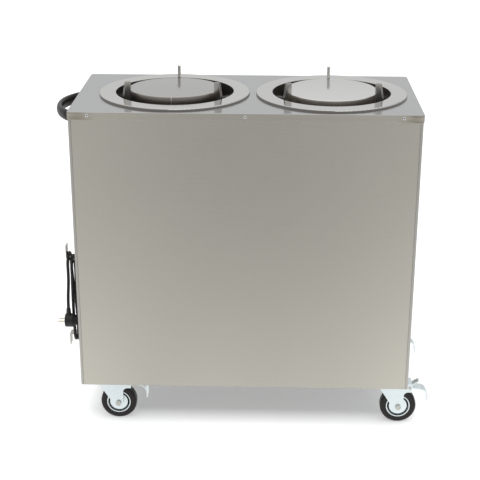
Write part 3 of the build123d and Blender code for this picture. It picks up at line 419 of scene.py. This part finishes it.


# ---------------------------------------------------------------- the cart's materials
# The front, back and top are the same steel: the warm tint of the upright sheets and the cool tint of the
# top are painted reflection, the tints of what each face reflects.
WARM_STEEL = (0.60, 0.578, 0.515)
# The end panels' steel, made darker than the front's: painted shade.
SHADED_END_STEEL = (0.5, 0.482, 0.45)
COOL_STEEL = (0.55, 0.557, 0.57)
# Darker colour of the ring's upright faces, its bore and turned-down edge: painted shade.
SHADED_RING_WALL = (0.36, 0.34, 0.32)
SOFT_BLACK = (0.02, 0.02, 0.02)
SHADES = {
    "front": brushed_steel("steel_front", WARM_STEEL, 0.28, anisotropy=0.4),
    "end": brushed_steel("steel_end", SHADED_END_STEEL, 0.28, "Z", 0.4, rotation=0.25),
    "top": add_end_patches(
        brushed_steel("steel_top", COOL_STEEL, 0.17, "X", 0.3, "Y", blotch=0.02, streaks=0.02,
                      upright=(WARM_STEEL, 0.28))),
    "ring": brushed_steel("steel_ring", (0.72, 0.72, 0.715), 0.14, "turned", 0.3, blotch=0.02,
                          streaks=0.02, upright=(SHADED_RING_WALL, 0.35)),
    # The two pans are the same steel: the left pan's darker colours and the right pan's lighter ones,
    # skirts too, are painted shade and painted light.
    "left_pan": pan_steel("steel_left_pan", (0.53, 0.527, 0.52), 0.13, (0.44, 0.405, 0.37)),
    "right_pan": pan_steel("steel_right_pan", (0.8, 0.8, 0.795), 0.13, (0.82, 0.78, 0.73)),
    "guide": brushed_steel("steel_guide", (0.72, 0.7, 0.66), 0.2, "Z", 0.2, rotation=0.25,
                           blotch=0.02, streaks=0.02),
    "tray": brushed_steel("steel_tray", (0.5, 0.5, 0.49), 0.38, "X", 0.3, "Y"),
    "heater": brushed_steel("steel_heater", (0.2, 0.16, 0.14), 0.45, "Z", 0.0, blotch=0.25, streaks=0.1),
    "spring": coiled_wire("steel_spring", (0.5, 0.5, 0.51)),
    "zinc": zinc("zinc", ZINC),
    "nut": zinc("nut_steel", (0.6, 0.6, 0.56), 0.35),
    "dull_zinc": zinc("zinc_dull", (0.6, 0.62, 0.63), 0.4),
    "left_hub": wheel_centre("left_wheel_centre", "front_left_wheel_hub"),
    "right_hub": wheel_centre("right_wheel_centre", "front_right_wheel_hub"),
    "rivet": zinc("rivet_metal", (0.9, 0.9, 0.9), 0.28),
    # Dark discs in the rivets' bores: painted shade.
    "bore_shade": zinc("rivet_bore_shade", (0.1, 0.095, 0.09), 0.4),
    "handle": moulded("handle_plastic", (0.014, 0.012, 0.012), 0.32, 1100.0, 0.12),
    "black": moulded("black_plastic", SOFT_BLACK, 0.4),
    "rocker": moulded("rocker_plastic", SOFT_BLACK, 0.2, 900.0, 0.02, 0.4),
    "cord": moulded("cord_rubber", (0.016, 0.015, 0.016), 0.42, 1600.0, 0.1),
    "plug": moulded("plug_rubber", (0.017, 0.016, 0.017), 0.4, 1400.0, 0.14),
    "tyre": tyre_rubber("tyre_rubber"),
    "pins": brushed_steel("pin_metal", (0.8, 0.76, 0.6), 0.2, "X", 0.3, "X"),
    "lamp": lens("lamp_lens", (0.7, 0.22, 0.03)),
}
MATERIALS = {key: shade.material for key, shade in SHADES.items()}

# Part of a node's name and the material it wears; the first match counts.
WEARS = (
    ("front_panel", "front"), ("back_panel", "front"), ("end_panel", "end"), ("top_panel", "top"),
    ("base_tray", "tray"), ("base_rails", "dull_zinc"), ("blind_rivets", "rivet"),
    ("well_tube", "ring"), ("heater", "heater"), ("plate_guides", "guide"), ("lift_springs", "spring"),
    ("left_platform_pan", "left_pan"), ("right_platform_pan", "right_pan"), ("carriage", "dull_zinc"),
    ("push_handle", "handle"), ("handle_bolts", "dull_zinc"), ("axle", "nut"), ("control_plate", "end"),
    ("thermostat_knob", "black"), ("thermostat", "dull_zinc"), ("power_switch", "black"),
    ("switch_rocker", "rocker"), ("pilot_lamp", "lamp"), ("cord_cleats", "end"), ("cable_gland", "black"),
    ("cord_hank", "cord"), ("power_cord", "cord"), ("plug_cord", "cord"), ("plug_body", "plug"),
    ("plug_pins", "pins"), ("left_wheel_hub", "left_hub"), ("right_wheel_hub", "right_hub"),
    ("tyre", "tyre"), ("", "zinc"),
)
SMOOTH_ANGLE = math.radians(30)


def dress(mesh, key):
    """Gives a mesh its material and a smooth look on its round faces."""
    mesh.materials.append(MATERIALS[key])
    mesh.shade_smooth()
    mesh.set_sharp_from_angle(angle=SMOOTH_ANGLE)


def dress_nodes():
    for name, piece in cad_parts.items():
        piece.data.materials.clear()
        dress(piece.data, next(key for part, key in WEARS if part in name))


# ---------------------------------------------------------------- pieces from a mesh recipe
TINY = 0.001 * MM
ARC_STEPS = 5
LATHE_STEPS = 128


def make_piece(name, build, body, key, slot, *replaced):
    """One object from a bmesh recipe, riding on a body in place of its CAD nodes."""
    shape = bmesh.new()
    build(shape)
    bmesh.ops.recalc_face_normals(shape, faces=shape.faces)
    mesh = bpy.data.meshes.new(name)
    shape.to_mesh(mesh)
    shape.free()
    dress(mesh, key)
    piece = bpy.data.objects.new(name, mesh)
    bpy.context.scene.collection.objects.link(piece)
    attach(piece, body)
    if replaced:
        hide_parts(*replaced)


def arc(middle, radius, start, end):
    """Points of an arc, angles in degrees."""
    angles = [math.radians(start + (end - start) * step / ARC_STEPS) for step in range(ARC_STEPS + 1)]
    return [(middle[0] + radius * math.cos(a), middle[1] + radius * math.sin(a)) for a in angles]


def box_outline(x_low, x_high, z_low, z_high):
    return [(x_low, z_low), (x_high, z_low), (x_high, z_high), (x_low, z_high)]


def lathe(shape, outline):
    """Spins an outline of (radius, height) about Z."""
    verts = [shape.verts.new((x, 0, z)) for x, z in outline]
    edges = [shape.edges.new(pair) for pair in zip(verts, verts[1:] + verts[:1])]
    bmesh.ops.spin(shape, geom=verts + edges, cent=(0, 0, 0), axis=(0, 0, 1), angle=math.tau,
                   steps=LATHE_STEPS)
    bmesh.ops.remove_doubles(shape, verts=shape.verts, dist=TINY)
    bmesh.ops.dissolve_degenerate(shape, edges=shape.edges, dist=TINY / 10)


def prism(shape, outline, y_low, y_high, place):
    """Extrudes an outline of (x, z) from y_low to y_high."""
    rows = [[shape.verts.new(place @ Vector((x, y, z))) for x, z in outline] for y in (y_low, y_high)]
    for row in rows:
        shape.faces.new(row)
    near, far = rows
    for i in range(len(outline)):
        k = (i + 1) % len(outline)
        shape.faces.new((near[i], near[k], far[k], far[i]))


# ---------------------------------------------------------------- platforms and plate guides
SHEET = 1.5 * MM
TOP_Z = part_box("top_panel")[1][Z]
RING_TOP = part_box("left_well_tube")[1][Z]
BORE_R = 157.5 * MM
PAN_R = 121.3 * MM
PAN_SKIRT = 35 * MM
PAN_EDGE_R = 2 * MM
PAN_RISE = {"left": 15 * MM, "right": 12.5 * MM}
PAN_LEAN = {"left": -1.0, "right": 0.7}                    # degrees; above zero the front edge is low
GUIDE_ANGLES = (90.0, 210.0, 330.0)
GUIDE_TURN = {"left": -0.6, "right": 1.2}
GUIDE_IN, GUIDE_OUT = 128.1 * MM, 149.3 * MM
GUIDE_THICKNESS = 7.1 * MM
GUIDE_RISE = 44.4 * MM
GUIDE_TAPER = 5.5 * MM
GUIDE_ROUND = 4.5 * MM
BRACKET_HEIGHT = 24 * MM
BRACKET_DROP = 40 * MM


def add_pan(side):
    """Inverted round pan with a rolled edge."""
    edge = arc((PAN_R - PAN_EDGE_R, -PAN_EDGE_R), PAN_EDGE_R, 90, 0)
    inside = [(PAN_R - SHEET, -PAN_SKIRT), (PAN_R - SHEET, -SHEET), (0, -SHEET)]
    outline = [(0, 0), *edge, (PAN_R, -PAN_SKIRT), *inside]
    lean = Matrix.Rotation(math.radians(PAN_LEAN[side]), 4, "X")
    place = Matrix.Translation((WELL_X[side], 0, TOP_Z + PAN_RISE[side])) @ lean

    def build(shape):
        lathe(shape, outline)
        shape.transform(place)

    make_piece(f"{side}_plate_platform", build, f"{side}_platform", f"{side}_pan", "pan_polished",
               f"{side}_platform_pan")


def guide(shape, low, place):
    """Folded channel, closed towards the plates, with two brackets back to the well's wall."""
    high = TOP_Z + GUIDE_RISE
    tip = GUIDE_OUT - GUIDE_TAPER
    corner = arc((tip - GUIDE_ROUND, high - GUIDE_ROUND), GUIDE_ROUND, 0, 90)
    leg = [(GUIDE_IN, low), (GUIDE_OUT, low), (GUIDE_OUT, RING_TOP), *corner, (GUIDE_IN, high)]
    half = GUIDE_THICKNESS / 2
    inner_half = half - SHEET
    for y in (-half, inner_half):
        prism(shape, leg, y, y + SHEET, place)
    web = box_outline(GUIDE_IN, GUIDE_IN + SHEET, low, high)
    prism(shape, web, -inner_half, inner_half, place)
    bracket_in = GUIDE_OUT - GUIDE_THICKNESS
    for z in (low + BRACKET_HEIGHT, TOP_Z - BRACKET_DROP):
        bracket = box_outline(bracket_in, BORE_R, z - BRACKET_HEIGHT / 2, z + BRACKET_HEIGHT / 2)
        prism(shape, bracket, -inner_half, inner_half, place)


def add_guides(side):
    """The three guides of a well, as low as the CAD guides reach."""
    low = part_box(f"{side}_plate_guides")[0][Z]

    def build(shape):
        for angle in GUIDE_ANGLES:
            turn = Matrix.Rotation(math.radians(angle + GUIDE_TURN[side]), 4, "Z")
            guide(shape, low, Matrix.Translation((WELL_X[side], 0, 0)) @ turn)

    make_piece(f"{side}_guides", build, "cabinet", "guide", "guide_steel", f"{side}_plate_guides")


# ---------------------------------------------------------------- rivet bore shades
BORE_SHADE_R = 1.8 * MM
BORE_SHADE_PROUD = 0.15 * MM
BORE_SHADE_SUNK = 1 * MM
BORE_SHADE_SIDES = 24
RIVET_REACH = 10 * MM                     # from a long side to the middle of its rivets, at most


def islands(shape):
    """The connected groups of a mesh's corners."""
    left = set(shape.verts)
    while left:
        group, queue = set(), [left.pop()]
        while queue:
            vert = queue.pop()
            group.add(vert)
            queue += [n for edge in vert.link_edges if (n := edge.other_vert(vert)) not in group]
        left -= group
        yield group


def rivet_ends():
    """The outer middle and outward axis of each blind rivet, read from its node."""
    side_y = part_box("top_panel")[1][Y]
    shape = bmesh.new()
    shape.from_mesh(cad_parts["blind_rivets"].data)
    bmesh.ops.remove_doubles(shape, verts=shape.verts, dist=TINY)
    for group in islands(shape):
        low = Vector([min(vert.co[i] for vert in group) for i in range(3)])
        high = Vector([max(vert.co[i] for vert in group) for i in range(3)])
        middle = (low + high) / 2
        if abs(abs(middle.y) - side_y) < RIVET_REACH:
            axis = Vector((0, math.copysign(1, middle.y), 0))
        else:
            axis = Vector((math.copysign(1, middle.x), 0, 0))
        yield middle + axis * abs((high - low).dot(axis)) / 2, axis
    shape.free()


def add_bore_shades():
    """Dark discs in the rivets' bores: painted shade of the open bores."""
    def build(shape):
        for end, axis in rivet_ends():
            turn = axis.to_track_quat("Z", "Y").to_matrix().to_4x4()
            place = Matrix.Translation(end + axis * (BORE_SHADE_PROUD - BORE_SHADE_SUNK) / 2) @ turn
            bmesh.ops.create_cone(shape, cap_ends=True, segments=BORE_SHADE_SIDES, radius1=BORE_SHADE_R,
                                  radius2=BORE_SHADE_R, depth=BORE_SHADE_SUNK + BORE_SHADE_PROUD, matrix=place)

    make_piece("rivet_bore_shades", build, "cabinet", "bore_shade", "rivet_aluminium")


# ---------------------------------------------------------------- cord
CORD_D = 0.0085
LEAD = [(-0.4573, -0.070, 0.540), (-0.4573, -0.070, 0.512), (-0.4573, -0.100, 0.462)]
TAIL = [(-0.4888, -0.100, 0.389), (-0.4888, -0.124, 0.344), (-0.4888, -0.124, 0.318)]
HANK_X = [-0.4573, -0.4678, -0.4783, -0.4888]              # one layer beside the other
HANK_FRONT_Y, HANK_BACK_Y = -0.100, -0.045
HANK_R = 0.0275
HANK_START_Z = 0.430
HANK_LOW = [0.2240, 0.2285, 0.2315]                        # middles of the half turns
HANK_HIGH = [0.418, 0.426, 0.434]
HANK_BOW = [0.0006, 0.0022, -0.0012]
FRONT_SHARES = (0.0, 0.3, 0.62)                            # places along a run
BACK_SHARES = (0.0, 0.25, 0.5, 0.75, 1.0)
NEXT_RUN = 2.4                                             # tangents below the half turn
CORNER = 45.0                                              # degrees from one control point to the next


def half_turn(x, middle_y, z, start):
    """Control points of a half circle in the YZ plane, as the corners round it."""
    reach = HANK_R / math.cos(math.radians(CORNER / 2))
    points = []
    for step in range(round(180 / CORNER)):
        angle = math.radians(start + CORNER * (step + 0.5))
        points.append((x, middle_y + reach * math.cos(angle), z + reach * math.sin(angle)))
    return points


def hank_points():
    """The cord's own spline round the two cleats; the runs bow a little, as loose turns do."""
    middle = (HANK_FRONT_Y + HANK_BACK_Y) / 2
    tangent = HANK_R * math.tan(math.radians(CORNER / 2))
    start_z = HANK_START_Z
    points = []
    for x, x_next, low, high, bow in zip(HANK_X, HANK_X[1:], HANK_LOW, HANK_HIGH, HANK_BOW):
        for share in FRONT_SHARES:
            z = start_z + share * (low + tangent - start_z)
            points.append((x + bow * math.sin(math.pi * share), HANK_FRONT_Y, z))
        points.append((x, HANK_FRONT_Y, low + tangent))
        points += half_turn(x, middle, low, 180)
        for share in BACK_SHARES:
            smooth = share * share * (3 - 2 * share)
            z = low + tangent + share * (high - low - 2 * tangent)
            points.append((x + smooth * (x_next - x), HANK_BACK_Y, z))
        points += half_turn(x_next, middle, high, 0)
        points.append((x_next, HANK_FRONT_Y, high - tangent))
        start_z = high - NEXT_RUN * tangent
    return points


def mains_cord():
    points = LEAD + hank_points() + TAIL
    data = bpy.data.curves.new("mains_cord", "CURVE")
    data.dimensions = "3D"
    data.bevel_depth = CORD_D / 2
    data.bevel_resolution = 5
    data.resolution_u = 6
    data.use_fill_caps = True
    spline = data.splines.new("NURBS")
    spline.points.add(len(points) - 1)
    for point, place in zip(spline.points, points):
        point.co = (*place, 1.0)
    spline.order_u = 3
    spline.use_endpoint_u = True
    data.materials.append(MATERIALS["cord"])
    cord = bpy.data.objects.new("mains_cord", data)
    bpy.context.scene.collection.objects.link(cord)
    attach(cord, "cabinet")
    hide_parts("power_cord", "cord_hank", "plug_cord")
    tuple(LEAD[0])


# ---------------------------------------------------------------- stage
FLOOR_HALF = 12.0
FLOOR_ALBEDO, FLOOR_MOTTLE = 0.88, 0.02
FLOOR_BOUNCE = (0.62, 0.61, 0.6)
FLOOR_LIFT = (0.98, 0.985, 1.0)
SHADOW_LIFT, CLEAR_LIFT = 0.135, 0.59     # added for the eye alone, under the cart and clear of it
SHADOW_REACH = 0.085
SHADOW_MIDDLE = (0.02, 0.06)
SHADOW_HALF = (0.4, 0.165)
GLOW_NEAR, GLOW_FAR = 0.92, 0.515         # floor as the steel shows it, at the cart and away from it
GLOW_START, GLOW_END = 0.3, 3.0
GLOW_FALL = 1.9
GLOW_SIDE = 0.22                          # more of it to the left and right
SIDE_START, SIDE_END = 0.5, 0.95
SIDE_BASE, SIDE_SLOPE = 0.45, 0.18        # half the width that counts as the middle, and its growth
BAND_X, BAND_HALF, BAND_DEPTH = 0.06, 0.14, 0.05        # darker band in front of the middle
WHITE = (1.0, 1.0, 1.0)


def floor_glow(shade):
    """Brightness of the floor in reflections: it falls with the distance and rises to the sides."""
    place = shade.split(shade.place)
    x, y = (shade.calc("ABSOLUTE", axis) for axis in place[:2])
    near = shade.span(shade.distance(x, y), 1.0, 0.0, GLOW_START, GLOW_END)
    glow = shade.span(shade.calc("POWER", near, GLOW_FALL), GLOW_FAR, GLOW_NEAR)
    aside = shade.calc("DIVIDE", x, shade.plus(shade.times(y, SIDE_SLOPE), SIDE_BASE))
    glow = shade.plus(glow, shade.span(aside, 0.0, GLOW_SIDE, SIDE_START, SIDE_END))
    off_band = shade.calc("ABSOLUTE", shade.calc("SUBTRACT", place[X], BAND_X))
    return shade.plus(glow, shade.span(off_band, -BAND_DEPTH, 0.0, 0.0, BAND_HALF))


def clear_of_cart(shade):
    """0 under the cart, 1 where the floor is clear of it."""
    beyond = []
    for axis, middle, half in zip(shade.split(shade.place), SHADOW_MIDDLE, SHADOW_HALF):
        offset = shade.calc("ABSOLUTE", shade.calc("SUBTRACT", axis, middle))
        beyond.append(shade.calc("MAXIMUM", shade.calc("SUBTRACT", offset, half), 0.0))
    return shade.span(shade.distance(*beyond), 0.0, 1.0, 0.0, SHADOW_REACH)


def floor_white():
    """White floor; reflections see its glow without shadows, the eye sees its shading."""
    shade = Shade("floor_white")
    paths = shade.add("ShaderNodeLightPath").outputs
    grain = shade.spread(shade.noise(shade.place, 2.5, 3.0), FLOOR_ALBEDO, FLOOR_ALBEDO + FLOOR_MOTTLE)
    base = shade.mix(paths["Is Camera Ray"], FLOOR_BOUNCE, grain)
    shade.look(Base_Color=base, Roughness=0.7, Specular_IOR_Level=0.1)
    level = shade.span(clear_of_cart(shade), SHADOW_LIFT, CLEAR_LIFT)
    lift = shade.light("ShaderNodeEmission", FLOOR_LIFT, shade.times(paths["Is Camera Ray"], level))
    lit = shade.add("ShaderNodeAddShader")
    shade.fill(lit.inputs[0], shade.shader.outputs[0])
    shade.fill(lit.inputs[1], lift)
    mirrored = shade.calc("MAXIMUM", paths["Is Glossy Ray"], paths["Is Transmission Ray"])
    glow = shade.light("ShaderNodeEmission", WHITE, floor_glow(shade))
    output = shade.tree.nodes["Material Output"]
    shade.feed(output, Surface=shade.either(mirrored, lit.outputs[0], glow))
    return shade.material


def add_stage():
    mesh = bpy.data.meshes.new("floor")
    corners = [(-1, -1), (1, -1), (1, 1), (-1, 1)]
    mesh.from_pydata([(FLOOR_HALF * x, FLOOR_HALF * y, 0.0) for x, y in corners], [], [(0, 1, 2, 3)])
    floor = bpy.data.objects.new("floor", mesh)
    bpy.context.scene.collection.objects.link(floor)
    mesh.materials.append(floor_white())
    floor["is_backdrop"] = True


# ---------------------------------------------------------------- light
ROOM_COLOR = (1.0, 0.998, 0.992)
ROOM_LEVEL = 0.60
ROOM_TOP_LIFT = 0.33
ROOM_FRONT_DIM, ROOM_FRONT_FALL = 0.25, 1.5
ROOM_SIDE_DIM, ROOM_SIDE_FALL = 0.12, 2.0
SOFT_BOX = 0.12                           # overhead
SOFT_BOX_EDGE = (0.84, 0.95)              # height of its edge on the unit sphere


def add_world():
    """Soft studio: white to the eye; in reflections dim towards the viewer, with a soft box overhead."""
    world = bpy.data.worlds.new("room")
    bpy.context.scene.world = world
    world.use_nodes = True
    room = Graph(world.node_tree)
    room.tree.nodes.clear()
    x, y, z = room.split(room.add("ShaderNodeTexCoord").outputs["Generated"])
    up = room.calc("MAXIMUM", z, 0.0)
    low = room.calc("SUBTRACT", 1.0, up)
    ahead = room.calc("MAXIMUM", room.times(y, -1.0), 0.0)
    front = room.times(room.calc("POWER", ahead, ROOM_FRONT_FALL), ROOM_FRONT_DIM)
    side = room.times(room.calc("POWER", room.calc("ABSOLUTE", x), ROOM_SIDE_FALL), ROOM_SIDE_DIM)
    dim = room.times(room.plus(front, side), low)
    level = room.plus(room.times(up, ROOM_TOP_LIFT), ROOM_LEVEL)
    box = room.span(z, 0.0, SOFT_BOX, *SOFT_BOX_EDGE, "SMOOTHSTEP")
    level = room.plus(room.calc("SUBTRACT", level, dim), box)
    seen = room.add("ShaderNodeLightPath").outputs["Is Camera Ray"]
    mirrored = room.light("ShaderNodeBackground", ROOM_COLOR, level)
    white = room.light("ShaderNodeBackground", WHITE, 1.0)
    room.feed(room.add("ShaderNodeOutputWorld"), Surface=room.either(seen, mirrored, white))


# ---------------------------------------------------------------- make it
add_camera()
dress_nodes()
for end in ENDS:
    add_pan(end)
    add_guides(end)
add_bore_shades()
mains_cord()
add_stage()
add_world()
bpy.context.scene.view_settings.view_transform = "Standard"

boxes = {"cad": cad_bounds, "visual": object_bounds()}
{key: [list(corner) for corner in box] for key, box in boxes.items()}
